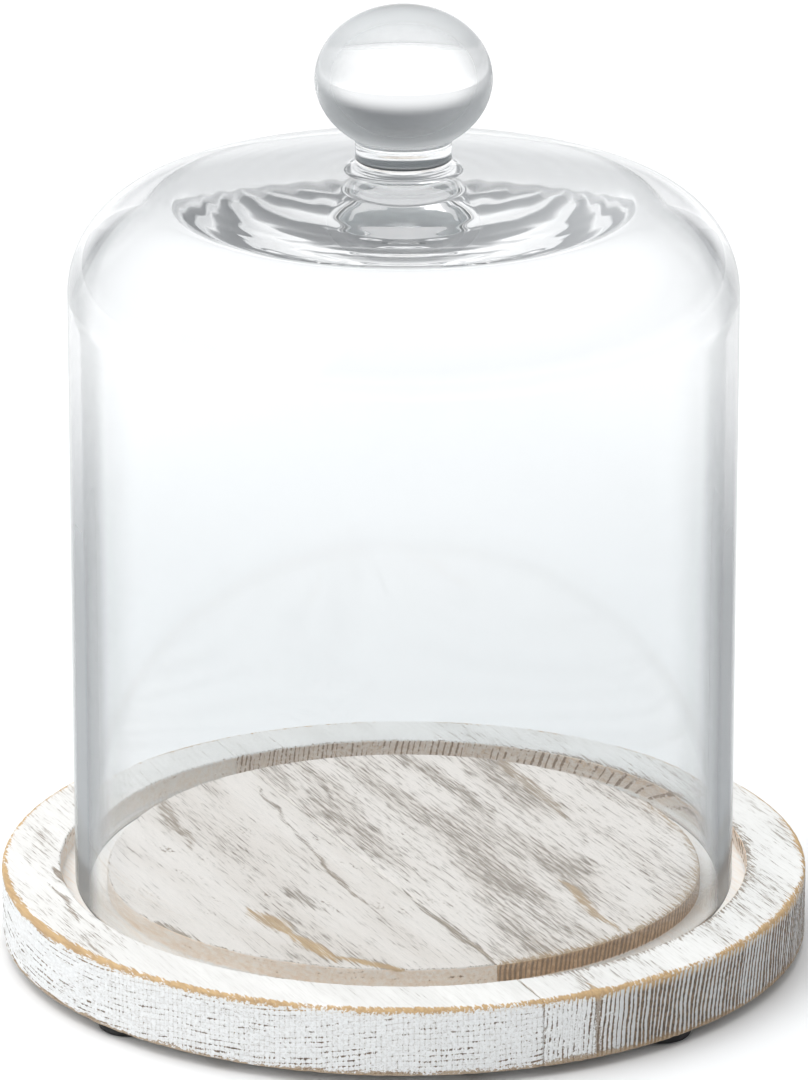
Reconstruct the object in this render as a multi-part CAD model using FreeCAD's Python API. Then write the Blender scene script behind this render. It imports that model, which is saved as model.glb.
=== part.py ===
"""Bell jar: a blown glass bell with a ball knob, standing in the groove of a round board on pads.

Millimetres, +Z up. The origin is the centre of the footprint, on the plane that the pads stand on.
"""

import FreeCAD, Part
import math
import os

# ---- driving dimensions -------------------------------------------------------------------
BOARD_RADIUS = 100.0
BOARD_THICKNESS = 17.5
FOOT_HEIGHT = 2.5

GRAIN_ANGLE = -65.0  # direction of the wood grain in the XY plane, in degrees
SEAM_OFFSET = -9.5  # glue line of the two halves, measured across the grain from the centre

GROOVE_INNER_RADIUS = 73.8
GROOVE_OUTER_RADIUS = 85.2
GROOVE_DEPTH = 5.0

BELL_RADIUS = 81.7  # outside of the glass wall
WALL = 3.0
WALL_HEIGHT = 147.5  # top of the straight wall above the board's face
SHOULDER_RADIUS = 24.0
CROWN_RADIUS = 250.0
CROWN_THICKNESS = 8.5  # on the axis, where the glass is thickest
INNER_CROWN_RADIUS = 900.0
INNER_SHOULDER_LEVEL = -4.0  # where the inside leaves the straight wall, against the outside

NECK_RADIUS = 11.7
NECK_JOINT_RISE = 4.4  # the knob is fused on this far above the crown
KNOB_RADIUS = 21.5
KNOB_HALF_HEIGHT = 17.7
KNOB_HEIGHT = 201.0  # its centre above the board's face

FOOT_RADIUS = 8.0
FOOT_CIRCLE_RADIUS = 90.5
FOOT_TURN = -2.0  # the pads are stuck on by eye, a little off the diagonals
ADHESIVE_THICKNESS = 0.4
ADHESIVE_RADIUS = 7.2
FOOT_ANGLES = {"back_right": 45.0, "back_left": 135.0, "front_left": 225.0, "front_right": 315.0}

# ---- edge treatments ----------------------------------------------------------------------
BOARD_TOP_ROUND = 1.2
BOARD_BOTTOM_ROUND = 0.8
GROOVE_CHAMFER = 0.4
NECK_FOOT_ROUND = 3.4
NECK_HEAD_ROUND = 1.8
FOOT_ROUND = 0.9

# ---- levels worked out from them ----------------------------------------------------------
BOARD_TOP = FOOT_HEIGHT + BOARD_THICKNESS
GROOVE_FLOOR = BOARD_TOP - GROOVE_DEPTH
WALL_TOP = BOARD_TOP + WALL_HEIGHT
KNOB_Z = BOARD_TOP + KNOB_HEIGHT
PAD_TOP = FOOT_HEIGHT - ADHESIVE_THICKNESS
CROWN_CENTRE = WALL_TOP - math.sqrt(
    (CROWN_RADIUS - SHOULDER_RADIUS) ** 2 - (BELL_RADIUS - SHOULDER_RADIUS) ** 2
)
CROWN_TOP = CROWN_CENTRE + CROWN_RADIUS
JOINT_LEVEL = CROWN_TOP + NECK_JOINT_RISE

AXIS = FreeCAD.Vector(0, 0, 1)
ORIGIN = FreeCAD.Vector(0, 0, 0)
UP = math.pi / 2
BISECTIONS = 50
NEAR = 0.01  # edges this close to a level or a radius are at it


# ---- outlines in the XZ plane, given as (radius, height) ----------------------------------
def point(radius, height):
    return FreeCAD.Vector(radius, 0, height)


def line(start, end):
    return Part.makeLine(point(*start), point(*end))


def arc(centre, radius, start, end):
    """An arc about a centre, between two angles above the outward direction."""
    angles = (start, (start + end) / 2, end)
    places = [(centre[0] + radius * math.cos(a), centre[1] + radius * math.sin(a)) for a in angles]
    return Part.Arc(*[point(*place) for place in places]).toShape()


def turned(edges):
    """The solid that a closed outline sweeps about Z."""
    face = Part.Face(Part.Wire(Part.sortEdges(edges)[0]))
    return face.revolve(ORIGIN, AXIS, 360)


def cylinder(radius, low, high):
    return Part.makeCylinder(radius, high - low, point(0, low))


# ---- glass --------------------------------------------------------------------------------
def outer_edges():
    """The outside of the bell: wall, shoulder, crown, and the flare that rises into the neck."""
    shoulder_centre = (BELL_RADIUS - SHOULDER_RADIUS, WALL_TOP)
    meet = math.atan2(WALL_TOP - CROWN_CENTRE, shoulder_centre[0])
    flare_x = NECK_RADIUS + NECK_FOOT_ROUND
    reach = CROWN_RADIUS + NECK_FOOT_ROUND
    flare = math.acos(flare_x / reach)
    flare_z = CROWN_CENTRE + reach * math.sin(flare)
    return [
        line((BELL_RADIUS, GROOVE_FLOOR + WALL / 2), (BELL_RADIUS, WALL_TOP)),
        arc(shoulder_centre, SHOULDER_RADIUS, 0, meet),
        arc((0, CROWN_CENTRE), CROWN_RADIUS, meet, flare),
        arc((flare_x, flare_z), NECK_FOOT_ROUND, flare - math.pi, -math.pi),
        line((NECK_RADIUS, flare_z), (NECK_RADIUS, JOINT_LEVEL)),
        line((NECK_RADIUS, JOINT_LEVEL), (0, JOINT_LEVEL)),
    ]


def inner_edges():
    """The inside of the bell. It is flatter than the outside, so the glass thickens to the axis."""
    radius = BELL_RADIUS - WALL
    level = WALL_TOP + INNER_SHOULDER_LEVEL
    crown_top = CROWN_TOP - CROWN_THICKNESS
    crown_centre = crown_top - INNER_CROWN_RADIUS
    # The shoulder arc touches the wall at this level and touches the crown arc from inside it.
    rise = level - crown_centre
    shoulder = (INNER_CROWN_RADIUS**2 - radius**2 - rise**2) / (2 * (INNER_CROWN_RADIUS - radius))
    meet = math.atan2(rise, radius - shoulder)
    return [
        line((radius, GROOVE_FLOOR + WALL / 2), (radius, level)),
        arc((radius - shoulder, level), shoulder, 0, meet),
        arc((0, crown_centre), INNER_CROWN_RADIUS, meet, UP),
        line((0, crown_top), (0, JOINT_LEVEL)),
    ]


def glass_bell():
    """The bell, mouth down on its rounded lip, up to the face where the knob is fused on."""
    lip = arc((BELL_RADIUS - WALL / 2, GROOVE_FLOOR + WALL / 2), WALL / 2, -math.pi, 0)
    return turned(outer_edges() + inner_edges() + [lip])


def oval_point(t):
    return KNOB_RADIUS * math.cos(t), KNOB_Z + KNOB_HALF_HEIGHT * math.sin(t)


def oval_offset(t, distance):
    """The point at a distance outside the knob's oval."""
    x, z = KNOB_HALF_HEIGHT * math.cos(t), KNOB_RADIUS * math.sin(t)
    length = math.hypot(x, z)
    place = oval_point(t)
    return place[0] + distance * x / length, place[1] + distance * z / length


def glass_knob():
    """The flattened ball and its neck, down to the face where they are fused to the bell."""
    # The hollow round under the ball touches the neck and touches the oval from outside.
    low, high = -UP, 0.0
    for _ in range(BISECTIONS):
        t = (low + high) / 2
        if oval_offset(t, NECK_HEAD_ROUND)[0] < NECK_RADIUS + NECK_HEAD_ROUND:
            low = t
        else:
            high = t
    centre = oval_offset(t, NECK_HEAD_ROUND)
    touch = oval_point(t)
    turn = math.atan2(touch[1] - centre[1], touch[0] - centre[0])
    top = (0, KNOB_Z + KNOB_HALF_HEIGHT)
    oval = Part.Ellipse(point(-KNOB_RADIUS, KNOB_Z), point(*top), point(0, KNOB_Z))
    return turned(
        [
            line((0, JOINT_LEVEL), (NECK_RADIUS, JOINT_LEVEL)),
            line((NECK_RADIUS, JOINT_LEVEL), (NECK_RADIUS, centre[1])),
            arc(centre, NECK_HEAD_ROUND, math.pi, turn),
            Part.ArcOfEllipse(oval, UP, math.pi - t).toBSpline().toShape(),
            line(top, (0, JOINT_LEVEL)),
        ]
    )


# ---- wood ---------------------------------------------------------------------------------
def rim_edges(solid, level, largest):
    """The circular edges of a turned solid at a level, up to a radius."""
    return [
        e
        for e in solid.Edges
        if isinstance(e.Curve, Part.Circle)
        and abs(e.Curve.Center.z - level) < NEAR
        and e.Curve.Radius < largest + NEAR
    ]


def whole_board():
    """The round board with its groove, before it is divided at the glue line."""
    board = cylinder(BOARD_RADIUS, FOOT_HEIGHT, BOARD_TOP)
    board = board.makeFillet(BOARD_TOP_ROUND, rim_edges(board, BOARD_TOP, BOARD_RADIUS))
    board = board.makeFillet(BOARD_BOTTOM_ROUND, rim_edges(board, FOOT_HEIGHT, BOARD_RADIUS))
    groove = cylinder(GROOVE_OUTER_RADIUS, GROOVE_FLOOR, BOARD_TOP)
    groove = groove.cut(cylinder(GROOVE_INNER_RADIUS, GROOVE_FLOOR, BOARD_TOP))
    board = board.cut(groove)
    return board.makeChamfer(GROOVE_CHAMFER, rim_edges(board, BOARD_TOP, GROOVE_OUTER_RADIUS))


def board_half(side):
    """The board on one side of the glue line; side is +1 or -1 across the grain."""
    size = 3 * BOARD_RADIUS
    block = Part.makeBox(size, size, size, FreeCAD.Vector(-size / 2, min(side, 0) * size, -size / 2))
    block.translate(FreeCAD.Vector(0, SEAM_OFFSET, 0))
    block.rotate(ORIGIN, AXIS, GRAIN_ANGLE)
    return whole_board().common(block)


# ---- feet ---------------------------------------------------------------------------------
def at_foot(shape, angle):
    turn = math.radians(angle + FOOT_TURN)
    shape.translate(FOOT_CIRCLE_RADIUS * FreeCAD.Vector(math.cos(turn), math.sin(turn), 0))
    return shape


def foot(angle):
    """A soft pad with a rounded lower edge."""
    pad = cylinder(FOOT_RADIUS, 0, PAD_TOP)
    return at_foot(pad.makeFillet(FOOT_ROUND, rim_edges(pad, 0, FOOT_RADIUS)), angle)


def adhesive(angle):
    """The double-sided disc that holds a pad under the board."""
    return at_foot(cylinder(ADHESIVE_RADIUS, PAD_TOP, FOOT_HEIGHT), angle)


def main():
    os.makedirs("parts", exist_ok=True)
    nodes = {
        "glass_bell": glass_bell(),
        "glass_knob": glass_knob(),
        "board_left": board_half(-1),
        "board_right": board_half(1),
    }
    for name, angle in FOOT_ANGLES.items():
        nodes["foot_" + name] = foot(angle)
        nodes["adhesive_" + name] = adhesive(angle)
    for name, shape in nodes.items():
        shape.exportStep(f"parts/{name}.step")
        box = shape.BoundBox
        print(
            f"{name:20s} valid {shape.isValid()} {shape.Volume / 1000:8.2f} cm3"
            f"  x {box.XMin:7.2f} {box.XMax:7.2f}  y {box.YMin:7.2f} {box.YMax:7.2f}"
            f"  z {box.ZMin:7.2f} {box.ZMax:7.2f}"
        )


main()
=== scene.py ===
import functools
import math

import bpy
import numpy as np
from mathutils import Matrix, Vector
from mathutils.geometry import delaunay_2d_cdt


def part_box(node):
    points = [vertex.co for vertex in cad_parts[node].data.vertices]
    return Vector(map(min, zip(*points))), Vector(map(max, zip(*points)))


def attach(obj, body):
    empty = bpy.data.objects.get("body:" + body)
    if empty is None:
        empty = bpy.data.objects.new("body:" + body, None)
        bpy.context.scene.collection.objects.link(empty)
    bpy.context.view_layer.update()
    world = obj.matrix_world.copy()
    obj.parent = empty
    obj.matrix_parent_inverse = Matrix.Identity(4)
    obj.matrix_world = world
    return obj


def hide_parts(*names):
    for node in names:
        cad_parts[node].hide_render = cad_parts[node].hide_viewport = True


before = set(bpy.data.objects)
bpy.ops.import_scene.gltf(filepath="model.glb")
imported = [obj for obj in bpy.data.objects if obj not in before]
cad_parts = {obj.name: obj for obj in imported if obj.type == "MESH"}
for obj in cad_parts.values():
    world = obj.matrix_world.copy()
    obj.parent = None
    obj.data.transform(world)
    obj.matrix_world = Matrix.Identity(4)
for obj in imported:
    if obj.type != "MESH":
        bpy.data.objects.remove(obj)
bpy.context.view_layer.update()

MM = 0.001

# ---- sizes that come from the frame, in metres ---------------------------------------------
BOARD_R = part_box("board_right")[1].x
BOARD_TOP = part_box("board_right")[1].z
BOARD_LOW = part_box("board_right")[0].z
BELL_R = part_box("glass_bell")[1].x
GROOVE_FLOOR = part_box("glass_bell")[0].z
JOINT_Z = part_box("glass_knob")[0].z
KNOB_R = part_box("glass_knob")[1].x
KNOB_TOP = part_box("glass_knob")[1].z

# ---- sizes that the frame doesn't give, in metres ------------------------------------------
WALL = 3.0 * MM
WALL_TOP = BOARD_TOP + 147.5 * MM
SHOULDER_R = 24.0 * MM
CROWN_R = 250.0 * MM
CROWN_THICKNESS = 8.5 * MM
INNER_CROWN_R = 900.0 * MM
INNER_SHOULDER_DROP = 4.0 * MM
NECK_R = 11.7 * MM
NECK_FOOT_ROUND = 3.4 * MM
NECK_HEAD_ROUND = 1.8 * MM
KNOB_HALF = 17.7 * MM
KNOB_Z = KNOB_TOP - KNOB_HALF

GROOVE_IN = 73.8 * MM
GROOVE_OUT = 85.2 * MM
GRAIN_ANGLE = math.radians(-65.0)
SEAM_OFFSET = -9.5 * MM
NEAR = 0.03 * MM  # points and levels this close are taken as one
BISECTIONS = 50

# ---- studio, in metres ---------------------------------------------------------------------
WORLD_HORIZON = (0.97, 0.98, 0.99)
WORLD_DARK = (0.19, 0.199, 0.208)
WORLD_PALE = (0.46, 0.475, 0.49)
WORLD_HIGH = (0.68, 0.69, 0.70)
WORLD_LEAN = (-0.85, -0.5, 0.0)  # towards the pale side
WORLD_HIGH_BAND = (0.40, 0.62)  # how far up a direction points, from the walls to the ceiling
WORLD_HORIZON_BAND = (0.15, -0.03)  # the same, from the walls down to the horizon
FLOOR_REACH = 3.2  # from the middle to each edge
FLOOR_TONES = ((0.86, 0.86, 0.86), (0.84, 0.84, 0.84))
FLOOR_GLOW = 0.6  # far off, where the lights no longer reach it
FLOOR_GLOW_BAND = (0.6, 3.0)  # distances over which the glow comes in
LIGHT_TARGET = (0, 0, 0.1)
KEY_PLACE = (-1.5, -1.3, 1.4)
KEY_SIZE = (1.5, 1.5)
KEY_WATTS = 10.0
SOFTBOX_SIZE = (1.9, 1.9)
SOFTBOX_FADE = 0.16  # the larger it is, the wider the soft margin
SOFTBOX_WATTS = 11.0
OVERHEAD_PLACE = (-0.9, 0.5, 2.6)
OVERHEAD_SIZE = (3.2, 3.6)
OVERHEAD_WATTS = 82.0

CAMERA_SENSOR = 36.0  # mm
CAMERA_LENS = 271.4  # mm
CAMERA_ELEVATION = math.radians(19.04)
CAMERA_DISTANCE = 2.0
CAMERA_TARGET = (0.1 * MM, 0, BOARD_TOP + 83.3 * MM)

# ---- colours, with the two tones that a noise mixes where a name has a pair ----------------
CROWN_GLASS = (0.985, 0.99, 0.993)
# Painted shade: the walls' glass is greyer than the crown's, which darkens what is seen through the
# walls.
WALL_GLASS = (0.855, 0.872, 0.88)
GLASS_SHADOW = (0.93, 0.94, 0.945, 1.0)
# Painted reflection: the grey that the bell's and the knob's glass turn to where they are seen at a
# slant, in place of the dim room the glass would reflect there.
BELL_PAINTED_REFLECTION = (0.20, 0.215, 0.225)  # what the glass turns to where it is seen edge on
KNOB_PAINTED_REFLECTION = (0.40, 0.415, 0.42)
GOLD_WOOD = ((0.60, 0.40, 0.19), (0.44, 0.28, 0.13))
BROWN_WOOD = ((0.36, 0.255, 0.165), (0.20, 0.145, 0.10))
DARK_WOOD = ((0.205, 0.13, 0.074), (0.09, 0.06, 0.036))
OLD_WOOD = ((0.47, 0.41, 0.35), (0.22, 0.18, 0.145))
PALE_GROOVE = ((0.98, 0.82, 0.68), (0.84, 0.66, 0.51))
BROWN_GROOVE = ((0.64, 0.42, 0.25), (0.46, 0.285, 0.155))
GROOVE_RINGS = (0.27, 0.175, 0.105)
RIM_PAINT = ((0.84, 0.825, 0.80), (0.78, 0.765, 0.74))
DISC_PAINT = ((0.83, 0.765, 0.71), (0.75, 0.68, 0.62))
SIDE_PAINT = ((0.83, 0.84, 0.84), (0.74, 0.75, 0.75))
# Painted shade: greyer paint on the side from the front right round to the back, the side turned
# away from the key light.
SHADED_SIDE_PAINT = (0.56, 0.575, 0.58)
THIN_PAINT = (0.54, 0.515, 0.48)
RUBBER = ((0.012, 0.012, 0.013), (0.03, 0.03, 0.03))
FOAM = ((0.72, 0.70, 0.64), (0.86, 0.85, 0.80))


# ---- smooth noise --------------------------------------------------------------------------
def lattice_value(cell, seed):
    """A fixed value from -1 to 1 for each lattice cell, from its three whole numbers."""
    h = cell[:, 0] * 73856093 ^ cell[:, 1] * 19349663 ^ cell[:, 2] * 83492791 ^ seed * 2654435761
    h &= 0xFFFFFFFF
    for _ in range(2):
        h = ((h >> 16) ^ h) * 0x45D9F3B & 0xFFFFFFFF
    h = (h >> 16) ^ h
    return h / 0x7FFFFFFF - 1.0


def noise(points, seed):
    """Smooth noise from -1 to 1, with one lattice cell to the unit."""
    base = np.floor(points).astype(np.int64)
    part = points - base
    part = part * part * (3 - 2 * part)
    total = np.zeros(len(points))
    for corner in range(8):
        step = np.array([corner & 1, corner >> 1 & 1, corner >> 2 & 1])
        weight = np.prod(np.where(step, part, 1 - part), axis=1)
        total += weight * lattice_value(base + step, seed)
    return total


def fractal(points, seed, octaves):
    """Noise with finer and weaker layers added."""
    return sum(noise(points * 2**k, seed + k) / 2**k for k in range(octaves))


def smooth_step(low, high, x):
    """A smooth rise from 0 at low to 1 at high, or a fall if low is the larger."""
    t = np.clip((x - low) / (high - low), 0, 1)
    return t * t * (3 - 2 * t)


# ---- meshes --------------------------------------------------------------------------------
def mesh_object(name, points, faces):
    mesh = bpy.data.meshes.new(name)
    mesh.from_pydata([tuple(p) for p in points], [], [tuple(f) for f in faces])
    mesh.validate()
    obj = bpy.data.objects.new(name, mesh)
    bpy.context.scene.collection.objects.link(obj)
    mesh.polygons.foreach_set("use_smooth", [True] * len(mesh.polygons))
    return obj


def arc(centre, radius, start, end, steps):
    """Points of an arc about a centre, as (radius, height)."""
    t = np.linspace(start, end, steps)
    return np.stack([centre[0] + radius * np.cos(t), centre[1] + radius * np.sin(t)], 1)


def straight(start, end, steps):
    """Points of a straight line, as (radius, height)."""
    return np.linspace(start, end, steps)


def chain(*stretches):
    """One outline from stretches that meet end to end."""
    kept = [stretches[0]]
    for s in stretches[1:]:
        kept.append(s[1:] if np.linalg.norm(s[0] - kept[-1][-1]) < NEAR else s)
    return np.concatenate(kept)


def turned_mesh(name, outline, segments):
    """A closed turned surface from an outline whose two ends lie on the axis."""
    ring = outline[1:-1]
    angles = np.arange(segments) * 2 * math.pi / segments
    r, z = ring[:, 0][:, None], ring[:, 1][:, None]
    x, y = r * np.cos(angles), r * np.sin(angles)
    points = np.stack([x, y, np.broadcast_to(z, x.shape)], -1).reshape(-1, 3)
    first, last = len(points), len(points) + 1
    points = np.vstack([points, [0, 0, outline[0, 1]], [0, 0, outline[-1, 1]]])
    faces = []
    for i in range(len(ring) - 1):
        here, there = i * segments, (i + 1) * segments
        for j in range(segments):
            k = (j + 1) % segments
            faces.append((here + j, here + k, there + k, there + j))
    end = (len(ring) - 1) * segments
    for j in range(segments):
        k = (j + 1) % segments
        faces.append((first, k, j))
        faces.append((last, end + j, end + k))
    return mesh_object(name, points, faces)


# ---- materials -----------------------------------------------------------------------------
class Nodes:
    """A short way to build the node tree of a material, a world or a light."""

    def __init__(self, owner, output="ShaderNodeOutputMaterial"):
        owner.use_nodes = True
        self.tree = owner.node_tree
        self.tree.nodes.clear()
        self.out = self.tree.nodes.new(output)

    def add(self, kind, inputs=None, **settings):
        node = self.tree.nodes.new(kind)
        for key, value in settings.items():
            setattr(node, key, value)
        for key, value in (inputs or {}).items():
            if isinstance(value, bpy.types.NodeSocket):
                self.tree.links.new(value, node.inputs[key])
            else:
                node.inputs[key].default_value = value
        return node

    def read(self, key):
        """A number that the mesh holds for each point."""
        return self.add("ShaderNodeAttribute", attribute_name=key).outputs["Fac"]

    def math(self, operation, *values, clamp=False):
        node = self.add("ShaderNodeMath", dict(enumerate(values)), operation=operation)
        node.use_clamp = clamp
        return node.outputs[0]

    def times(self, a, b):
        return self.math("MULTIPLY", a, b)

    def total(self, *terms):
        return functools.reduce(lambda a, b: self.math("ADD", a, b), terms)

    def largest(self, *terms):
        return functools.reduce(lambda a, b: self.math("MAXIMUM", a, b), terms)

    def off_middle(self, value, amount):
        """Noise turned into a push up or down, of 0 on average."""
        return self.times(self.math("SUBTRACT", value, 0.5), amount)

    def ramp(self, low, high, value):
        """A smooth rise from 0 at low to 1 at high."""
        node = self.add(
            "ShaderNodeMapRange",
            {"Value": value, "From Min": low, "From Max": high},
            interpolation_type="SMOOTHSTEP",
        )
        return node.outputs["Result"]

    def noise(self, vector, scale, detail=2.0, roughness=0.5):
        """Noise about 0.5, stretched by a scale for each axis."""
        placed = self.add("ShaderNodeVectorMath", {0: vector, 1: scale}, operation="MULTIPLY")
        node = self.add(
            "ShaderNodeTexNoise",
            {
                "Vector": placed.outputs[0],
                "Scale": 1.0,
                "Detail": detail,
                "Roughness": roughness,
            },
        )
        return node.outputs["Fac"]

    def mix(self, share, first, second):
        """One colour at a share of 0, turning to another at 1."""
        node = self.add("ShaderNodeMix", {"Factor": share}, data_type="RGBA")
        for key, value in ((6, first), (7, second)):
            if isinstance(value, bpy.types.NodeSocket):
                self.tree.links.new(value, node.inputs[key])
            else:
                node.inputs[key].default_value = (*value, 1.0)
        return node.outputs[2]

    def finish(self, shader):
        self.tree.links.new(shader, self.out.inputs["Surface"])


def glass_material():
    """Clear glass that lets light through to what stands inside it, with a painted grey reflection
    at its edges.
    """
    material = bpy.data.materials.new("clear_glass")
    n = Nodes(material)
    facing = n.add("ShaderNodeLayerWeight", {"Blend": 0.5}).outputs["Facing"]
    wall, rim, ball = (n.read(key) for key in ("wall", "rim", "ball"))

    # Painted reflection: a broad faint grey band and a stronger grey line down the bell's two
    # sides, a thin grey outline of the whole, and grey over the knob's ball where it is seen at a
    # slant, all in place of the dim room that the glass would reflect.
    broad = n.times(n.ramp(0.45, 0.62, facing), 0.12)
    line = n.times(n.ramp(0.63, 0.76, facing), 0.56)
    edge = n.times(n.total(broad, line), n.ramp(1.02, 0.84, facing))
    edge = n.times(edge, rim)
    outline = n.times(n.ramp(0.80, 0.95, facing), n.math("MULTIPLY_ADD", ball, 0.42, 0.34))
    knob_painted_reflection = n.times(n.times(n.ramp(0.13, 0.50, facing), 0.50), ball)
    grazing = n.largest(edge, outline, knob_painted_reflection)

    # Painted shade: the glass is greyer on the walls than on the crown.
    glass = n.add(
        "ShaderNodeBsdfPrincipled",
        {
            "Base Color": n.mix(wall, CROWN_GLASS, WALL_GLASS),
            "Roughness": 0.0,
            "IOR": 1.5,
            "Transmission Weight": 1.0,
        },
    )
    # Painted reflection: a grey diffuse surface mixed into the glass where it is seen at a slant.
    painted_reflection = n.add("ShaderNodeBsdfDiffuse", {"Color": n.mix(ball, BELL_PAINTED_REFLECTION, KNOB_PAINTED_REFLECTION)})
    glass = n.add("ShaderNodeMixShader", {0: grazing, 1: glass.outputs[0], 2: painted_reflection.outputs[0]})
    clear = n.add("ShaderNodeBsdfTransparent", {"Color": GLASS_SHADOW})
    path = n.add("ShaderNodeLightPath")
    soft = n.largest(path.outputs["Is Shadow Ray"], path.outputs["Is Diffuse Ray"])
    both = n.add("ShaderNodeMixShader", {0: soft, 1: glass.outputs[0], 2: clear.outputs[0]})
    n.finish(both.outputs[0])
    return material


class WoodNodes(Nodes):
    """The nodes of painted wood, with the noises that follow its grain. Their scales are per mm."""

    def __init__(self, material):
        super().__init__(material)
        self.grain = self.add("ShaderNodeAttribute", attribute_name="grain").outputs["Vector"]
        self.hairs = self.noise(self.grain, (0.16, 3.4, 3.4), 3.0, 0.6)
        self.fibres = self.noise(self.grain, (0.07, 1.0, 1.0), 3.0, 0.6)
        self.broad = self.noise(self.grain, (0.016, 0.09, 0.09), 2.0)
        self.specks = self.noise(self.grain, (0.9, 1.5, 1.5), 3.0, 0.6)


def ring_wear(n):
    """Where the paint has gone along the growth rings, and over the saw's cuts across them."""
    gain, saw = n.read("gain"), n.read("saw")
    wave = n.math("FRACT", n.read("ring"))
    fade = n.ramp(1.0, 0.92, wave)

    # Each ring is worn from its own start to its sharp end.
    which = n.math("FLOOR", n.read("ring"))
    odd = n.add("ShaderNodeTexWhiteNoise", {"W": which}, noise_dimensions="1D").outputs["Value"]
    start = n.math("MULTIPLY_ADD", odd, 0.32, 0.38)
    start = n.math("SUBTRACT", start, n.times(n.ramp(0.75, 1.0, gain), 0.20))
    rise = n.math("DIVIDE", n.math("SUBTRACT", wave, start), 0.22, clamp=True)
    rings = n.times(n.times(rise, fade), gain)
    cloud = n.off_middle(n.noise(n.grain, (0.05, 0.16, 0.3), 2.0), 1.1)
    rings = n.total(rings, n.off_middle(n.fibres, 0.8), n.off_middle(n.specks, 1.1), cloud)

    # Low on the side they are worn more.
    low_half = n.times(gain, n.ramp(9.0, 0.0, n.read("rise")))
    rings = n.total(rings, n.times(low_half, n.times(n.read("side"), 0.14)))

    # The saw left upright cuts, with the rings standing across them as a fine lattice.
    kerf = n.math("DIVIDE", n.read("round"), KERF_PITCH)
    kerf = n.math("FRACT", n.math("MULTIPLY_ADD", n.fibres, 0.8, kerf))
    kerf = n.ramp(0.62, 0.98, n.math("PINGPONG", n.times(kerf, 2.0), 1.0))
    rings = n.ramp(0.40, 0.62, n.total(rings, n.times(saw, n.off_middle(kerf, 0.2))))
    cuts = n.largest(kerf, n.ramp(0.70, 0.86, n.times(wave, fade)))
    cuts = n.times(n.times(cuts, n.ramp(0.36, 0.62, n.specks)), saw)
    return rings, cuts


def edge_wear(n):
    """Where the paint has gone at the arrises and the groove's lips, with a ragged limit."""
    teeth = n.noise(n.grain, (0.17, 1.5, 1.5), 3.0, 0.65)
    ragged = n.total(n.off_middle(teeth, 4.4), n.off_middle(n.broad, 2.2))
    arris = n.total(n.read("arris_wear"), ragged)
    arris = n.ramp(-0.12, 0.2, n.math("SUBTRACT", arris, n.read("arris")))
    reach = n.math("MULTIPLY_ADD", n.read("lip_wear"), 12.0, 1.0)
    lip = n.total(n.read("lip_wear"), n.off_middle(teeth, reach))
    lip = n.ramp(-0.12, 0.2, n.math("SUBTRACT", lip, n.read("lip")))
    return n.largest(arris, lip)


def brush_wear(n):
    """Where the brush left the wood bare on the faces, along the grain."""
    strokes = n.total(n.times(n.hairs, 0.55), n.times(n.fibres, 0.45))
    strokes = n.total(strokes, n.off_middle(n.broad, 0.35), n.read("wear"))
    return n.ramp(0.60, 0.70, strokes)


def groove_wear(n):
    """Where the walls and the floor of the groove were never covered."""
    bare = n.read("bare")
    walls = n.total(bare, n.off_middle(n.fibres, 0.7), n.off_middle(n.specks, 0.15))
    return n.times(n.ramp(0.15, 0.85, walls), n.ramp(0.0, 0.2, bare))


def bare_wood(n, rings):
    """Golden where it is freshly worn, brown in the rings, grey-brown in old strokes."""
    fine = n.ramp(0.3, 0.7, n.fibres)
    coarse = n.ramp(0.35, 0.65, n.fibres)
    brown = n.mix(n.read("side"), n.mix(coarse, *BROWN_WOOD), n.mix(coarse, *DARK_WOOD))
    groove = n.ramp(0.4, 0.8, n.read("gain"))
    groove = n.mix(groove, n.mix(fine, *PALE_GROOVE), n.mix(fine, *BROWN_GROOVE))
    groove = n.mix(rings, groove, GROOVE_RINGS)
    wood = n.mix(rings, n.mix(n.ramp(0.3, 0.7, n.hairs), *OLD_WOOD), brown)
    wood = n.mix(n.ramp(0.0, 0.1, n.read("bare")), wood, groove)
    return n.mix(n.read("gold"), wood, n.mix(fine, *GOLD_WOOD))


def paint_colour(n):
    """Brushed whitewash, a little grey where it is thin, cooler on the side, and with painted shade
    on the side turned away from the key light.
    """
    patches = n.ramp(0.35, 0.65, n.broad)
    face = n.mix(n.read("disc"), n.mix(patches, *RIM_PAINT), n.mix(patches, *DISC_PAINT))
    cool = n.mix(n.ramp(0.35, 0.65, n.specks), *SIDE_PAINT)
    # Painted shade: greyer paint where the side turns away from the key light.
    cool = n.mix(n.ramp(0.55, 1.0, n.read("gain")), cool, SHADED_SIDE_PAINT)
    thin = n.total(n.times(n.hairs, 0.6), n.times(n.fibres, 0.4))
    thin = n.times(n.ramp(0.45, 0.75, thin), 0.60)
    return n.mix(thin, n.mix(n.read("side"), face, cool), THIN_PAINT)


def wood_material(name):
    """Whitewash brushed over coarse wood, worn through along its rings, arrises and lips."""
    material = bpy.data.materials.new(name)
    n = WoodNodes(material)
    rings, cuts = ring_wear(n)
    gone = n.largest(rings, brush_wear(n), n.times(cuts, 0.38), edge_wear(n), groove_wear(n))
    colour = n.mix(n.times(gone, 0.96), paint_colour(n), bare_wood(n, rings))
    height = n.total(n.times(n.hairs, 0.5), n.times(n.fibres, 0.5), n.times(gone, -0.7))
    bump = n.add("ShaderNodeBump", {"Strength": 0.45, "Distance": 0.12 * MM, "Height": height})
    surface = n.add(
        "ShaderNodeBsdfPrincipled",
        {
            "Base Color": colour,
            "Roughness": n.math("MULTIPLY_ADD", gone, 0.2, 0.52),
            "Normal": bump.outputs[0],
        },
    )
    n.finish(surface.outputs[0])
    return material


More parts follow.
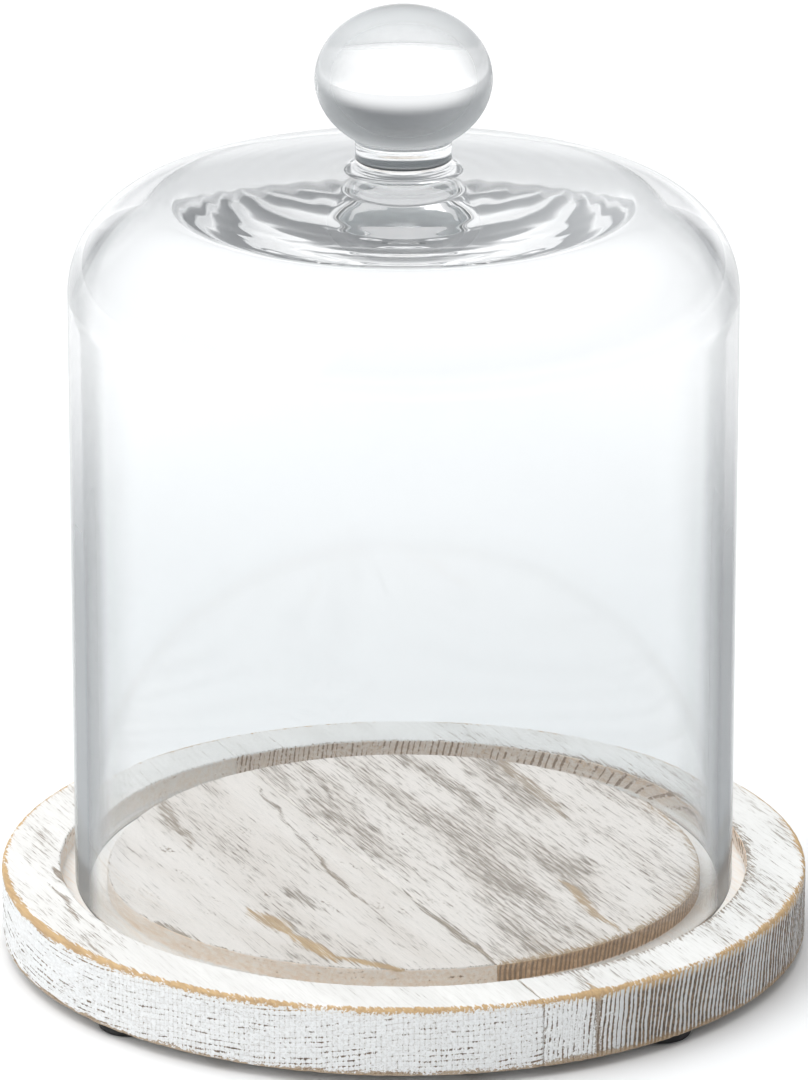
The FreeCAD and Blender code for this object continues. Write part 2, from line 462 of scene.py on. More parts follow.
def rubber_material():
    """Matt black rubber with a little dust on it."""
    material = bpy.data.materials.new("black_rubber")
    n = Nodes(material)
    place = n.add("ShaderNodeTexCoord").outputs["Object"]
    dust = n.noise(place, (400.0, 400.0, 400.0), 3.0)
    colour = n.mix(n.ramp(0.4, 0.8, dust), *RUBBER)
    bump = n.add("ShaderNodeBump", {"Strength": 0.2, "Distance": 0.2 * MM, "Height": dust})
    surface = n.add(
        "ShaderNodeBsdfPrincipled",
        {"Base Color": colour, "Roughness": 0.7, "Normal": bump.outputs[0]},
    )
    n.finish(surface.outputs[0])
    return material


def foam_material():
    """Pale foam with fine cells."""
    material = bpy.data.materials.new("foam_adhesive")
    n = Nodes(material)
    place = n.add("ShaderNodeTexCoord").outputs["Object"]
    cells = n.add("ShaderNodeTexVoronoi", {"Vector": place, "Scale": 4000.0}).outputs["Distance"]
    colour = n.mix(n.ramp(0.1, 0.7, cells), *FOAM)
    bump = n.add("ShaderNodeBump", {"Strength": 0.3, "Distance": 0.1 * MM, "Height": cells})
    surface = n.add(
        "ShaderNodeBsdfPrincipled",
        {"Base Color": colour, "Roughness": 0.8, "Normal": bump.outputs[0]},
    )
    n.finish(surface.outputs[0])
    return material


# ---- glass ---------------------------------------------------------------------------------
GLASS_SEGMENTS = 384
RIPPLE_HEIGHT = 0.009 * MM
RIPPLE_PITCH = 5.1 * MM
RIPPLE_WANDER = 9.0 * MM  # scale over which their pitch varies
RIPPLE_START = (3.0 * MM, 14.0 * MM)
RIPPLE_END = (56.0 * MM, 44.0 * MM)


def bell_outline():
    """The bell and its knob in one: from the axis down the inside, round the lip, up and over."""
    shoulder = (BELL_R - SHOULDER_R, WALL_TOP)
    crown_z = WALL_TOP - math.sqrt((CROWN_R - SHOULDER_R) ** 2 - shoulder[0] ** 2)
    meet = math.atan2(WALL_TOP - crown_z, shoulder[0])
    flare_x = NECK_R + NECK_FOOT_ROUND
    reach = CROWN_R + NECK_FOOT_ROUND
    flare = math.acos(flare_x / reach)
    flare_z = crown_z + reach * math.sin(flare)
    lip_z = GROOVE_FLOOR + WALL / 2
    outside = chain(
        straight((BELL_R, lip_z), (BELL_R, WALL_TOP), 120),
        arc(shoulder, SHOULDER_R, 0, meet, 60),
        arc((0, crown_z), CROWN_R, meet, flare, 120),
        arc((flare_x, flare_z), NECK_FOOT_ROUND, flare - math.pi, -math.pi, 24),
    )
    knob = knob_outline()
    neck = straight((NECK_R, flare_z), knob[0], 8)

    inner_r = BELL_R - WALL
    level = WALL_TOP - INNER_SHOULDER_DROP
    inner_top = crown_z + CROWN_R - CROWN_THICKNESS
    inner_z = inner_top - INNER_CROWN_R
    rise = level - inner_z
    bend = (INNER_CROWN_R**2 - inner_r**2 - rise**2) / (2 * (INNER_CROWN_R - inner_r))
    inner_meet = math.atan2(rise, inner_r - bend)
    inner_crown = arc((0, inner_z), INNER_CROWN_R, math.pi / 2, inner_meet, 400)
    inner_crown[:, 1] += ripples(inner_crown[:, 0])
    inside = chain(
        inner_crown,
        arc((inner_r - bend, level), bend, inner_meet, 0, 60),
        straight((inner_r, level), (inner_r, lip_z), 120),
        arc((BELL_R - WALL / 2, lip_z), WALL / 2, -math.pi, 0, 24),
    )
    return chain(inside, outside, neck, knob)


def ripples(r):
    """Rings that the glass keeps on the inside of the crown, fading out towards the shoulder."""
    fade = smooth_step(*RIPPLE_END, r) * smooth_step(*RIPPLE_START, r)
    wave = np.sin(2 * math.pi * (r / RIPPLE_PITCH + 0.6 * np.sin(r / RIPPLE_WANDER)))
    return RIPPLE_HEIGHT * fade * wave


def knob_outline():
    """From the neck, round the hollow under the ball, and over the ball to its top."""
    low, high = -math.pi / 2, 0.0
    for _ in range(BISECTIONS):
        t = (low + high) / 2
        x, z = KNOB_HALF * math.cos(t), KNOB_R * math.sin(t)
        length = math.hypot(x, z)
        centre_x = KNOB_R * math.cos(t) + NECK_HEAD_ROUND * x / length
        centre_z = KNOB_Z + KNOB_HALF * math.sin(t) + NECK_HEAD_ROUND * z / length
        low, high = (t, high) if centre_x < NECK_R + NECK_HEAD_ROUND else (low, t)
    turn = math.atan2(-z, -x)
    oval = np.linspace(t, math.pi / 2, 140)
    ball = np.stack([KNOB_R * np.cos(oval), KNOB_Z + KNOB_HALF * np.sin(oval)], 1)
    ball[-1, 0] = 0
    return chain(arc((centre_x, centre_z), NECK_HEAD_ROUND, math.pi, turn, 16), ball)


def build_glass():
    """The bell and its knob, with how far each point counts as wall, as side and as knob."""
    glass = turned_mesh("bell_glass", bell_outline(), GLASS_SEGMENTS)
    heights = np.array([v.co.z for v in glass.data.vertices])
    wall = smooth_step(WALL_TOP, (BOARD_TOP + WALL_TOP) / 2, heights)
    sides = smooth_step(WALL_TOP + 0.8 * SHOULDER_R, WALL_TOP + 0.2 * SHOULDER_R, heights)
    knob = smooth_step(JOINT_Z, KNOB_Z - 0.7 * KNOB_HALF, heights)
    # wall sets where the glass is greyer, as painted shade; rim and ball set where the painted grey
    # reflection falls.
    for key, value in {"wall": wall, "ball": knob, "rim": (0.35 + 0.65 * wall) * sides}.items():
        layer = glass.data.attributes.new(key, "FLOAT", "POINT")
        layer.data.foreach_set("value", value.astype(np.float32))
    glass.data.materials.append(glass_material())
    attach(glass, "dome")
    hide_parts("glass_bell", "glass_knob")


# ---- wood ----------------------------------------------------------------------------------
ALONG = np.array([math.cos(GRAIN_ANGLE), math.sin(GRAIN_ANGLE)])
ACROSS = np.array([-math.sin(GRAIN_ANGLE), math.cos(GRAIN_ANGLE)])
TOP_ROUND = 1.2 * MM
LOW_ROUND = 0.8 * MM
LIP_CHAMFER = 0.4 * MM
DISC_EDGE = GROOVE_IN - 3.0 * MM  # inside this the face is a plain sheet of triangles
UNDER_EDGE = BOARD_R - 3.0 * MM
SEAM_GAP = 0.03 * MM  # from the glue line to the glued face of each half
COLUMN_WIDTH = 0.53 * MM  # spacing of the points round the side
SEAM_STEP = 0.8 * MM
DISC_STEPS = (1.5 * MM, 0.42 * MM)  # spacing of the face's points, along and across the grain
UNDER_STEPS = (5.0 * MM, 1.5 * MM)
KERF_PITCH = 1.3  # mm, between the saw's cuts
LEFT_PITH = (-6.0, -300.0, -0.07)  # mm across, mm up from the floor, and its slope along the grain
RIGHT_PITH = (150.0, -3.0, 0.015)
LEFT_RING_PITCH = 1.35  # mm
RIGHT_RING_PITCH = 1.3
NOISE_OFFSET = 500.0  # mm, by which each half's noise is moved, one way or the other


def board_outline():
    """Rows of the turned part: over the face outwards, down the side and under, as (radius, z)."""
    top, low, floor = BOARD_TOP, BOARD_LOW, GROOVE_FLOOR
    rim = BOARD_R - TOP_ROUND
    under = BOARD_R - LOW_ROUND
    return chain(
        straight((DISC_EDGE, top), (GROOVE_IN - LIP_CHAMFER, top), 9),
        straight((GROOVE_IN - LIP_CHAMFER, top), (GROOVE_IN, top - LIP_CHAMFER), 3),
        straight((GROOVE_IN, top - LIP_CHAMFER), (GROOVE_IN, floor), 10),
        straight((GROOVE_IN, floor), (GROOVE_OUT, floor), 20),
        straight((GROOVE_OUT, floor), (GROOVE_OUT, top - LIP_CHAMFER), 10),
        straight((GROOVE_OUT, top - LIP_CHAMFER), (GROOVE_OUT + LIP_CHAMFER, top), 3),
        straight((GROOVE_OUT + LIP_CHAMFER, top), (rim - 2.5 * MM, top), 24),
        straight((rim - 2.5 * MM, top), (rim, top), 9),
        arc((rim, top - TOP_ROUND), TOP_ROUND, math.pi / 2, 0, 6),
        straight((BOARD_R, top - TOP_ROUND), (BOARD_R, top - 3.5 * MM), 8),
        straight((BOARD_R, top - 3.5 * MM), (BOARD_R, low + 3.0 * MM), 23),
        straight((BOARD_R, low + 3.0 * MM), (BOARD_R, low + LOW_ROUND), 7),
        arc((under, low + LOW_ROUND), LOW_ROUND, 0, -math.pi / 2, 4),
        straight((under, low), (UNDER_EDGE, low), 5),
    )


def outline_normals(outline):
    """Unit vectors that point out of the board, one for each row of its outline."""
    step = np.gradient(outline, axis=0)
    normal = np.stack([-step[:, 1], step[:, 0]], 1)
    return normal / np.linalg.norm(normal, axis=1)[:, None]


def half_angle(side, r):
    """The angle from a half's middle to the glue line, at a radius."""
    return np.arccos(side * SEAM_OFFSET / r)


def turned_half(side, outline, columns):
    """Points and outward normals of the turned part of one half, in grain axes (u, v, w)."""
    r = outline[:, 0][:, None]
    angle = half_angle(side, r) * np.linspace(-1, 1, columns)
    normal = outline_normals(outline)
    height = np.broadcast_to(outline[:, 1][:, None], angle.shape)
    outward = normal[:, 0][:, None]
    upward = np.broadcast_to(normal[:, 1][:, None], angle.shape)
    u, v = -side * np.sin(angle), side * np.cos(angle)
    points = np.stack([r * u, r * v, height], -1)
    normals = np.stack([outward * u, outward * v, upward], -1)
    return points, normals


def strip_faces(rows, columns):
    """The four-sided faces between neighbouring rows and columns of points."""
    i, j = np.meshgrid(np.arange(rows - 1), np.arange(columns - 1), indexing="ij")
    a = (i * columns + j).ravel()
    return np.stack([a, a + columns, a + columns + 1, a + 1], 1)


def fill(loop, inner, flip):
    """Triangles inside a closed loop of flat points, as indexes of the loop and then of inner."""
    flat = [Vector(p / MM) for p in np.vstack([loop, inner])]
    count = len(loop)
    edges = [(k, (k + 1) % count) for k in range(count)]
    result = delaunay_2d_cdt(flat, edges, [], 1, 1e-5)
    origin = [ids[0] for ids in result[3]]
    faces = [[origin[k] for k in face] for face in result[2]]
    return [face[::-1] if flip else face for face in faces]


def sheet_points(side, radius, step_along, step_across):
    """A staggered grid inside a half disc, clear of its edge and of the glue line."""
    u = np.arange(-radius, radius, step_along)
    v = np.arange(0.5 * step_across, 1.2 * radius, step_across) * side + SEAM_OFFSET
    grid = np.array([(a + step_along * 0.5 * (k % 2), b) for k, b in enumerate(v) for a in u])
    keep = np.hypot(grid[:, 0], grid[:, 1]) < radius - 0.6 * step_across
    return grid[keep]


def ring_phase(side, p):
    """How many growth rings out from the pith a point lies. p is in mm along, across and up."""
    u, v, w = p.T
    warp = 1.3 * noise(p / (70, 22, 22), 11) + 0.35 * noise(p / (24, 6, 6), 12)
    warp = warp + 0.16 * noise(p / (10, 2.2, 4.5), 13)
    if side < 0:
        pith_v, pith_w, slope = LEFT_PITH
        pith_w, pitch = pith_w + slope * u, LEFT_RING_PITCH
    else:
        pith_v, pith_w, slope = RIGHT_PITH
        pith_v, pitch = pith_v + slope * u, RIGHT_RING_PITCH
    reach = np.hypot(v - pith_v, w - pith_w) + warp
    return reach / pitch


def worn_corner(r, z, corner_r, corner_z, radius, way_r, way_z):
    """Pulls points of a corner in to a rounding of that radius. way_r and way_z point out of it."""
    dr = (r - (corner_r - way_r * radius)) * way_r
    dz = (z - (corner_z - way_z * radius)) * way_z
    reach = np.hypot(dr, dz)
    inside = (dr > 0) & (dz > 0) & (reach > radius)
    scale = np.where(inside, radius / np.maximum(reach, 1e-9), 1.0)
    r = np.where(inside, corner_r - way_r * radius + way_r * dr * scale, r)
    z = np.where(inside, corner_z - way_z * radius + way_z * dz * scale, z)
    return r, z


def build_board(name, side):
    """One half of the board, carved by its grain and its wear, with what its paint needs."""
    outline = board_outline()
    columns = int(2 * half_angle(side, BOARD_R) * BOARD_R / COLUMN_WIDTH)
    turned, turned_normals = turned_half(side, outline, columns)
    rows = len(outline)
    faces = [tuple(f) for f in strip_faces(rows, columns)]
    points = [turned.reshape(-1, 3)]
    normals = [turned_normals.reshape(-1, 3)]
    count = rows * columns

    # The face inside the groove, and the underside.
    seams = []
    for row, z, (along, across), up in (
        (0, BOARD_TOP, DISC_STEPS, True),
        (rows - 1, BOARD_LOW, UNDER_STEPS, False),
    ):
        radius = outline[row, 0]
        reach = math.sqrt(radius**2 - SEAM_OFFSET**2)
        steps = int(2 * reach / SEAM_STEP)
        ends = turned[row][[-1, 0]]
        part = np.linspace(0, 1, steps + 2)[1:-1][:, None]
        seam = ends[0] + (ends[1] - ends[0]) * part
        grid = sheet_points(side, radius, along, across)
        new = np.vstack([seam, np.column_stack([grid, np.full(len(grid), z)])])
        ids = np.concatenate([row * columns + np.arange(columns), count + np.arange(len(new))])
        loop = np.vstack([turned[row], seam])[:, :2]
        faces += [tuple(ids[list(f)]) for f in fill(loop, grid, flip=not up)]
        points.append(new)
        normals.append(np.tile((0, 0, 1.0 if up else -1.0), (len(new), 1)))
        seams.append(count + np.arange(len(seam)))
        count += len(new)

    # The glued face, from the two ends of every row and the seams of the two faces.
    first = np.arange(rows) * columns
    last = first + columns - 1
    loop_ids = np.concatenate([last, seams[1], first[::-1], seams[0][::-1]])
    p, n = np.vstack(points), np.vstack(normals)
    section = p[loop_ids][:, [0, 2]]
    faces += [tuple(loop_ids[list(f)]) for f in fill(section, np.zeros((0, 2)), flip=side < 0)]

    carved = carve(side, p, n, np.unique(loop_ids))
    xy = carved[:, :1] * ALONG + carved[:, 1:2] * ACROSS
    obj = mesh_object("wood_" + name, np.column_stack([xy, carved[:, 2]]), faces)
    paint_attributes(obj, side, p, n)
    obj.data.materials.append(wood_material(name + "_wood"))
    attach(obj, "base")
    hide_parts(name)


def carve(side, p, n, seam_ids):
    """Moves the points inwards: brushed grain, sunk rings, worn corners and an eased glue line."""
    mm = p / MM + (0, side * NOISE_OFFSET, 0)
    phase = ring_phase(side, p / MM)
    wave = phase - np.floor(phase)
    line = smooth_step(0.55, 0.88, wave) * smooth_step(1.0, 0.92, wave)
    upright = 1 - np.abs(n[:, 2])

    # Brushed grain all over, and a line in each ring that is deeper on the side. In mm.
    depth = 0.05 + 0.05 * fractal(mm / (14, 0.8, 0.8), 21, 2)
    depth += line * (0.05 + 0.10 * upright) * (0.6 + 0.4 * noise(mm / (12, 5, 5), 22))
    depth = np.clip(depth, 0, 0.6) * MM
    q = p - n * depth[:, None]

    # The board's arrises and the groove's lips are rounded unevenly by wear.
    r = np.hypot(q[:, 0], q[:, 1])
    keep = np.maximum(r, 1e-9)
    teeth = 0.5 + 0.5 * fractal(mm / (7, 1.2, 1.2), 31, 3)
    wide = 0.5 + 0.5 * noise(mm / (40, 25, 25), 32)
    top_radius = (0.7 + 1.2 * teeth * (0.4 + wide)) * MM
    low_radius = (0.5 + 0.9 * teeth) * MM
    lip_radius = (0.25 + 0.7 * teeth * (0.3 + wide)) * MM
    new_r, z = worn_corner(r, q[:, 2], BOARD_R, BOARD_TOP, top_radius, 1, 1)
    new_r, z = worn_corner(new_r, z, BOARD_R, BOARD_LOW, low_radius, 1, -1)
    over = (p[:, 2] > GROOVE_FLOOR + 0.5 * MM) & (p[:, 2] <= BOARD_TOP + NEAR)
    inner = over & (r < GROOVE_IN + 1 * MM)
    outer = over & (r > GROOVE_OUT - 1 * MM) & (r < BOARD_R - 5 * MM)
    ir, iz = worn_corner(new_r, z, GROOVE_IN, BOARD_TOP, lip_radius, 1, 1)
    new_r, z = np.where(inner, ir, new_r), np.where(inner, iz, z)
    outr, oz = worn_corner(new_r, z, GROOVE_OUT, BOARD_TOP, lip_radius, -1, 1)
    new_r, z = np.where(outer, outr, new_r), np.where(outer, oz, z)
    q = np.column_stack([q[:, :2] * (new_r / keep)[:, None], z])

    # The glue line's arrises are eased, and its points stay in their plane.
    near = smooth_step(0.45 * MM, 0, np.abs(p[:, 1] - SEAM_OFFSET))
    q[:, 2] -= np.sign(n[:, 2]) * 0.22 * MM * near * (np.abs(n[:, 2]) > 0.5)
    q[seam_ids, 1] = SEAM_OFFSET + side * SEAM_GAP
    return q


# Places where the paint is worn off the face, along the grain: where each starts and ends (along,
# across), its half width, how far it is worn, and how golden the wood under it is. In mm.
WORN = (
    ((-28, -81), (-16, -83), 1.6, 0.30, 0.0),
    ((-19, -87), (7, -90), 0.8, 0.22, 0.0),
    ((12, -73), (31, -68), 2.2, 0.30, 0.1),
    ((31, -68), (42, -63), 1.4, 0.25, 0.2),
    ((16, -48), (34, -46), 3.6, 0.26, 0.8),
    ((34, -46), (54, -43), 2.6, 0.24, 0.9),
    ((52, -42), (67, -31), 2.2, 0.24, 0.9),
    ((8, -34), (24, -32), 2.6, 0.20, 0.0),
    ((30, -10.5), (72, -10), 1.0, 0.28, 0.1),
    ((-60, -13), (-14, -19), 0.9, 0.20, 0.0),
    ((-14, -19), (28, -21), 0.9, 0.20, 0.1),
    ((32, 29), (64, 26), 2.0, 0.20, 0.6),
    ((20, 15), (62, 13), 4.5, 0.10, 0.0),
    ((-70, 30), (-20, 34), 3.0, 0.10, 0.0),
    ((-60, 52), (-10, 50), 2.4, 0.14, 0.2),
    ((-66, -40), (-30, -44), 2.4, 0.18, 0.1),
    ((84, -9.4), (102, -9.4), 0.35, 0.35, 0.2),
    ((96, 4.7), (102, 4.7), 0.7, 0.4, 0.5),
)


def worn_places(u, v):
    """How far the paint is worn, and how golden the wood is there."""
    wear, gold = np.zeros(len(u)), np.zeros(len(u))
    wander = 1.4 * noise(np.stack([u / 9, v / 40, 0 * u], 1), 51) * smooth_step(80, 60, np.abs(u))
    for (u0, v0), (u1, v1), width, amount, golden in WORN:
        t = np.clip((u - u0) / (u1 - u0), 0, 1)
        past = np.abs(u - (u0 + t * (u1 - u0)))
        across = (v + wander - (v0 + t * (v1 - v0))) / (width * (0.35 + 1.3 * t * (1 - t) * 2))
        here = np.exp(-(across**2)) * smooth_step(5.0, 0.0, past)
        wear = np.maximum(wear, here * amount * 0.72)
        gold = np.maximum(gold, smooth_step(0.2, 0.7, here) * golden)
    return wear, gold


# Stretches round the board: two angles in degrees from +X, with the front at -90, and the margin
# over which each stretch fades outside them.
RIGHT = (-72, 118, 14)
FRONT_RIGHT = (-78, 30, 8)
SIDE_RINGS_BARE = (-52, 100, 18)
FACE_WORN_RIGHT = (-50, 70, 20)
FACE_WORN_LEFT = (-215, -145, 15)
LOW_ARRIS_WORN = (-160, -20, 20)
TOP_ARRIS_WORN = (-175, -150, 6)
OUTER_LIP_WORN = (-64, 60, 6)
SAWN = (-132, -66, 12)


def between(low, high, soft, angle):
    """1 between two angles, falling to 0 over a soft margin outside them. In degrees."""
    middle, reach = (low + high) / 2, (high - low) / 2
    off = np.abs((angle - middle + 180) % 360 - 180)
    return smooth_step(reach + soft, reach, off)


def paint_attributes(obj, side, p, n):
    """What the paint needs to know at each point, measured before the carving."""
    mm = p / MM
    u, v, z = mm.T
    r = np.hypot(u, v)
    angle = np.degrees(np.arctan2(v, u) + GRAIN_ANGLE)
    board_r, top, low = BOARD_R / MM, BOARD_TOP / MM, BOARD_LOW / MM
    inner, outer, floor = GROOVE_IN / MM, GROOVE_OUT / MM, GROOVE_FLOOR / MM
    edge = 0.02
    upright = 1 - np.abs(n[:, 2])
    on_side = smooth_step(0.3, 0.8, upright) * (r > board_r - 2)
    in_groove = (r > inner - edge) & (r < outer + edge) & (z < top - 0.1)
    wall = in_groove & (z > floor + edge)
    inner_wall = wall & (r < inner + edge)
    disc = (r < inner + edge) & (z > top - 0.5)
    ring_face = (r > outer - edge) & (z > top - 0.5)
    right = between(*RIGHT, angle) * (side > 0)
    front_right = between(*FRONT_RIGHT, angle) * (side > 0)

    # How strongly the rings show, and how bare the groove is.
    # On the side, gain also sets where the painted shade falls on the paint.
    gain = np.select(
        [on_side > 0.3, inner_wall, wall, in_groove, disc, ring_face],
        [
            0.50 + 0.50 * between(*SIDE_RINGS_BARE, angle) if side > 0 else 0.46 + 0 * u,
            0.25 + 0.65 * right,
            0.25 + 0.35 * right,
            0.12 + 0 * u,
            0.25 + 0.01 * side + 0 * u,
            0.14 + 0.04 * side + 0 * u,
        ],
        0.5,
    )
    bare = np.select(
        [inner_wall, wall, in_groove],
        [0.60 + 0.32 * right, 0.44 + 0.1 * right, 0.32 + 0 * u],
        0.0,
    )

    # How far the brushed paint is worn.
    wear, gold = worn_places(u, v)
    wear *= disc | ring_face | (on_side > 0.3)
    wear += (0.05 + 0.06 * (side > 0)) * disc - 0.02 * on_side
    wear += (0.09 * between(*FACE_WORN_RIGHT, angle) - 0.03) * ring_face
    wear += 0.09 * between(*FACE_WORN_LEFT, angle) * ring_face

    # The distance from the nearest arris and lip, and how far in from it the paint is worn. In mm.
    top_arris = np.hypot(board_r - r, top - z)
    low_arris = np.hypot(board_r - r, z - low)
    arris = np.minimum(top_arris, low_arris)
    low_wear = 0.55 + 0.5 * between(*LOW_ARRIS_WORN, angle) + 0.5 * front_right
    top_wear = 1.1 + 0.5 * between(*TOP_ARRIS_WORN, angle) - 0.1 * front_right
    arris_wear = np.where(top_arris < low_arris, top_wear, low_wear)
    inner_lip, outer_lip = np.hypot(r - inner, top - z), np.hypot(r - outer, top - z)
    lip_wear = np.where(
        inner_lip < outer_lip,
        0.20 + 0.95 * front_right,
        0.20 + 0.85 * between(*OUTER_LIP_WORN, angle) * (side > 0),
    )

    # How golden the bare wood is.
    gold *= disc | ring_face
    gold = np.maximum(gold, 0.95 * smooth_step(3.2, 1.2, top_arris))
    gold = np.maximum(gold, 0.35 * smooth_step(2.5, 0.8, low_arris))
    gold = np.maximum(gold, 0.5 * front_right * smooth_step(4.5, 0.8, inner_lip) * disc)
    values = {
        "ring": ring_phase(side, mm),
        "arris": arris,
        "lip": np.minimum(inner_lip, outer_lip),
        "arris_wear": arris_wear,
        "lip_wear": lip_wear,
        "round": np.radians(angle) * board_r,
        "rise": z - low,
        "gain": gain,
        "bare": bare,
        "wear": wear,
        "gold": gold,
        "side": on_side,
        "disc": disc * 1.0,
        "saw": on_side * between(*SAWN, angle),
    }
    for name, value in values.items():
        layer = obj.data.attributes.new(name, "FLOAT", "POINT")
        layer.data.foreach_set("value", np.asarray(value, dtype=np.float32))
    layer = obj.data.attributes.new("grain", "FLOAT_VECTOR", "POINT")
    shifted = mm + (0, side * NOISE_OFFSET, 0)
    layer.data.foreach_set("vector", shifted.astype(np.float32).ravel())


# ---- feet ----------------------------------------------------------------------------------
FOOT_NAMES = ("front_left", "front_right", "back_left", "back_right")
FOOT_SEGMENTS = 96
FOOT_EDGE = 0.9 * MM
FOOT_TOP_EDGE = 0.2 * MM
FOOT_BULGE = 0.12 * MM
FOOT_INSET = 0.15 * MM  # keeps the bulging sides inside the node
FOOT_TREAD = 0.12 * MM  # depth of the rings moulded in the underside
FOOT_TREAD_WAVE = 0.28 * MM  # their pitch, divided by 2 pi
FOOT_TREAD_MARGIN = 1.3 * MM
TAPE_INSET = 0.1 * MM
TAPE_WAIST = 0.12 * MM


def placed(obj, node):
    """Moves a turned mesh from the axis to the middle of a node."""
    low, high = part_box(node)
    shift = np.array([(low.x + high.x) / 2, (low.y + high.y) / 2, 0])
    points = np.array([v.co for v in obj.data.vertices]) + shift
    obj.data.vertices.foreach_set("co", points.ravel())
    obj.data.update()


def foot_outline(radius, low, high):
    """A soft pad: ringed underside, rounded edge, sides that bulge a little, and a flat top."""
    tread = np.linspace(0, radius - FOOT_TREAD_MARGIN, 60)
    wave = 0.5 - 0.5 * np.cos(tread / FOOT_TREAD_WAVE)
    rings = np.stack([tread, low + FOOT_TREAD * wave], 1)
    rim = radius - FOOT_INSET
    edge = arc((rim - FOOT_EDGE, low + FOOT_EDGE), FOOT_EDGE, -math.pi / 2, 0, 10)
    side = straight((rim, low + FOOT_EDGE), (rim, high - FOOT_TOP_EDGE), 8)
    side[:, 0] += FOOT_BULGE * np.sin(np.linspace(0, math.pi, len(side)))
    corner = (rim - FOOT_TOP_EDGE, high - FOOT_TOP_EDGE)
    top = arc(corner, FOOT_TOP_EDGE, 0, math.pi / 2, 4)
    return chain(rings, edge, side, top, straight((corner[0], high), (0, high), 6))


def tape_outline(radius, low, high):
    """A disc of foam, a little squeezed in at its waist."""
    rim = radius - TAPE_INSET
    waist = rim - TAPE_WAIST
    middle = (low + high) / 2
    return chain(
        straight((0, low), (rim, low), 12),
        straight((rim, low), (waist, middle), 3),
        straight((waist, middle), (rim, high), 3),
        straight((rim, high), (0, high), 12),
    )


def build_feet():
    """Four pads under the board, each with the adhesive disc that holds it."""
    rubber, foam = rubber_material(), foam_material()
    for name in FOOT_NAMES:
        node = "foot_" + name
        low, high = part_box(node)
        outline = foot_outline((high.x - low.x) / 2, low.z, high.z)
        foot = turned_mesh("pad_" + name, outline, FOOT_SEGMENTS)
        foot.data.materials.append(rubber)
        placed(foot, node)
        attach(foot, "base")
        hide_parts(node)

        node = "adhesive_" + name
        low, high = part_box(node)
        outline = tape_outline((high.x - low.x) / 2, low.z, high.z)
        disc = turned_mesh("tape_" + name, outline, FOOT_SEGMENTS)
        disc.data.materials.append(foam)
        placed(disc, node)
        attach(disc, "base")
        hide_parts(node)


# ---- studio --------------------------------------------------------------------------------
def build_floor():
    """A pale floor that glows a little far off, so that it doesn't darken towards its edges."""
    size = FLOOR_REACH
    floor = mesh_object(
        "floor",
        [(-size, -size, 0), (size, -size, 0), (size, size, 0), (-size, size, 0)],
        [(0, 1, 2, 3)],
    )
    material = bpy.data.materials.new("floor")
    n = Nodes(material)
    place = n.add("ShaderNodeTexCoord").outputs["Object"]
    far = n.add("ShaderNodeVectorMath", {0: place}, operation="LENGTH").outputs["Value"]
    surface = n.add(
        "ShaderNodeBsdfPrincipled",
        {
            "Base Color": n.mix(n.noise(place, (3.0, 3.0, 3.0)), *FLOOR_TONES),
            "Roughness": 0.9,
            "Emission Color": (1.0, 1.0, 1.0, 1.0),
            "Emission Strength": n.times(n.ramp(*FLOOR_GLOW_BAND, far), FLOOR_GLOW),
        },
    )
    n.finish(surface.outputs[0])
    floor.data.materials.append(material)


def build_world():
    """A dim room, darker on the right and behind, with a paler ceiling and a bright horizon."""
    world = bpy.data.worlds.new("studio")
    bpy.context.scene.world = world
    n = Nodes(world, "ShaderNodeOutputWorld")
    way = n.add("ShaderNodeTexCoord").outputs["Generated"]
    lean = n.add("ShaderNodeVectorMath", {0: way, 1: WORLD_LEAN}, operation="DOT_PRODUCT")
    height = n.add("ShaderNodeSeparateXYZ", {0: way}).outputs["Z"]
    sky = n.mix(n.ramp(-0.8, 0.8, lean.outputs["Value"]), WORLD_DARK, WORLD_PALE)
    sky = n.mix(n.ramp(*WORLD_HIGH_BAND, height), sky, WORLD_HIGH)
    sky = n.mix(n.ramp(*WORLD_HORIZON_BAND, height), sky, WORLD_HORIZON)
    n.finish(n.add("ShaderNodeBackground", {"Color": sky}).outputs[0])


def area_light(name, place, target, size, power):
    """A rectangular light that faces a target."""
    light = bpy.data.lights.new(name, "AREA")
    light.shape = "RECTANGLE"
    light.size, light.size_y = size
    light.energy = power
    obj = bpy.data.objects.new(name, light)
    bpy.context.scene.collection.objects.link(obj)
    obj.location = place
    obj.rotation_euler = (Vector(target) - Vector(place)).to_track_quat("-Z", "Y").to_euler()
    return obj


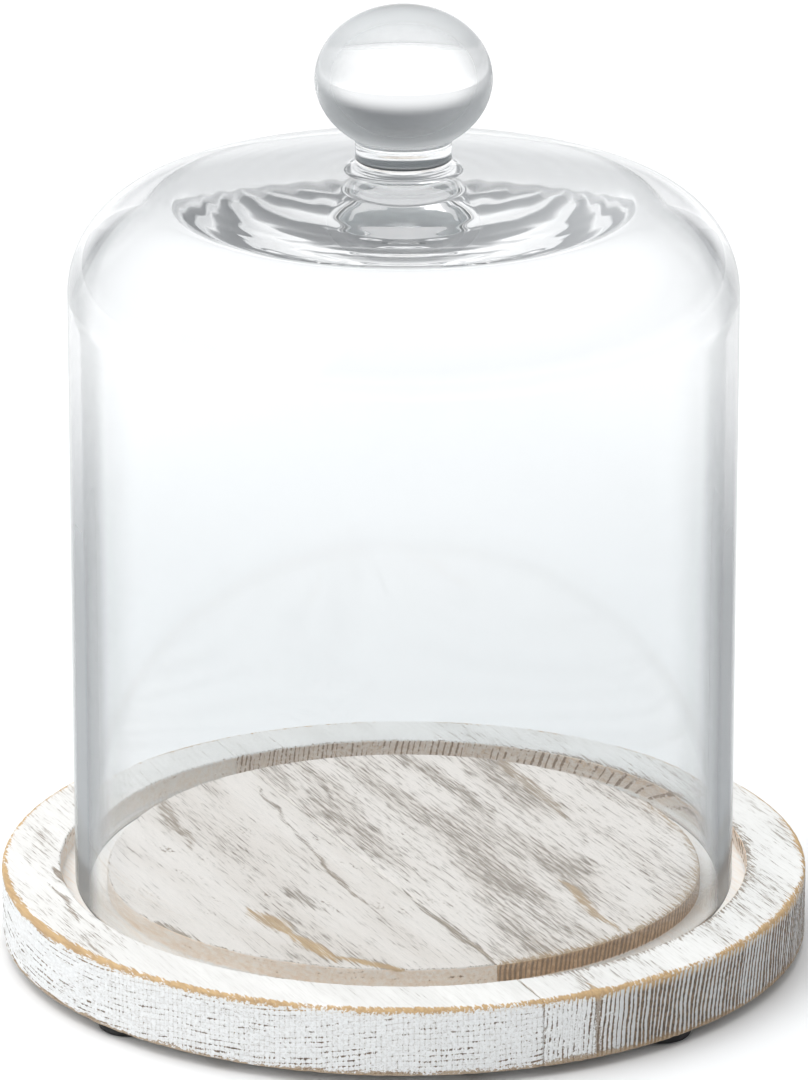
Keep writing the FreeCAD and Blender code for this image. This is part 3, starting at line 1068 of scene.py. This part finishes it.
def soften_edges(light):
    """Makes a light fade towards its edges, like a softbox."""
    n = Nodes(light, "ShaderNodeOutputLight")
    place = n.add("ShaderNodeNewGeometry").outputs["Parametric"]
    parts = n.add("ShaderNodeSeparateXYZ", {0: place}).outputs
    across = n.times(parts[0], n.math("SUBTRACT", 1.0, parts[0]))
    along = n.times(parts[1], n.math("SUBTRACT", 1.0, parts[1]))
    fade = n.ramp(0.0, SOFTBOX_FADE, n.times(across, n.times(along, 4.0)))
    n.finish(n.add("ShaderNodeEmission", {"Strength": fade}).outputs[0])


def build_lights():
    """A key light, a softbox in its place that the glass shows, and a wide light overhead."""
    key = area_light("key", KEY_PLACE, LIGHT_TARGET, KEY_SIZE, KEY_WATTS)
    key.visible_glossy = False
    softbox = area_light("softbox", KEY_PLACE, LIGHT_TARGET, SOFTBOX_SIZE, SOFTBOX_WATTS)
    soften_edges(softbox.data)
    below = (*OVERHEAD_PLACE[:2], 0)
    overhead = area_light("overhead", OVERHEAD_PLACE, below, OVERHEAD_SIZE, OVERHEAD_WATTS)
    overhead.visible_glossy = False
    overhead.visible_transmission = False


def build_camera():
    """A long lens in front of the bell, looking down on it a little."""
    camera = bpy.data.cameras.new("camera")
    camera.sensor_width = CAMERA_SENSOR
    camera.lens = CAMERA_LENS
    camera.clip_end = 50.0
    obj = bpy.data.objects.new("camera", camera)
    bpy.context.scene.collection.objects.link(obj)
    back = Vector((0, -math.cos(CAMERA_ELEVATION), math.sin(CAMERA_ELEVATION)))
    obj.location = Vector(CAMERA_TARGET) + back * CAMERA_DISTANCE
    obj.rotation_euler = (-back).to_track_quat("-Z", "Y").to_euler()
    bpy.context.scene.camera = obj


def set_render_look():
    """Plain colours, and enough bounces for light to get through the glass."""
    scene = bpy.context.scene
    scene.view_settings.view_transform = "Standard"
    scene.cycles.max_bounces = 24
    scene.cycles.transmission_bounces = 20
    scene.cycles.glossy_bounces = 24
    scene.cycles.transparent_max_bounces = 16
    scene.cycles.caustics_reflective = False
    scene.cycles.caustics_refractive = False


build_glass()
build_board("board_left", -1)
build_board("board_right", 1)
build_feet()
build_floor()
build_world()
build_lights()
build_camera()
set_render_look()
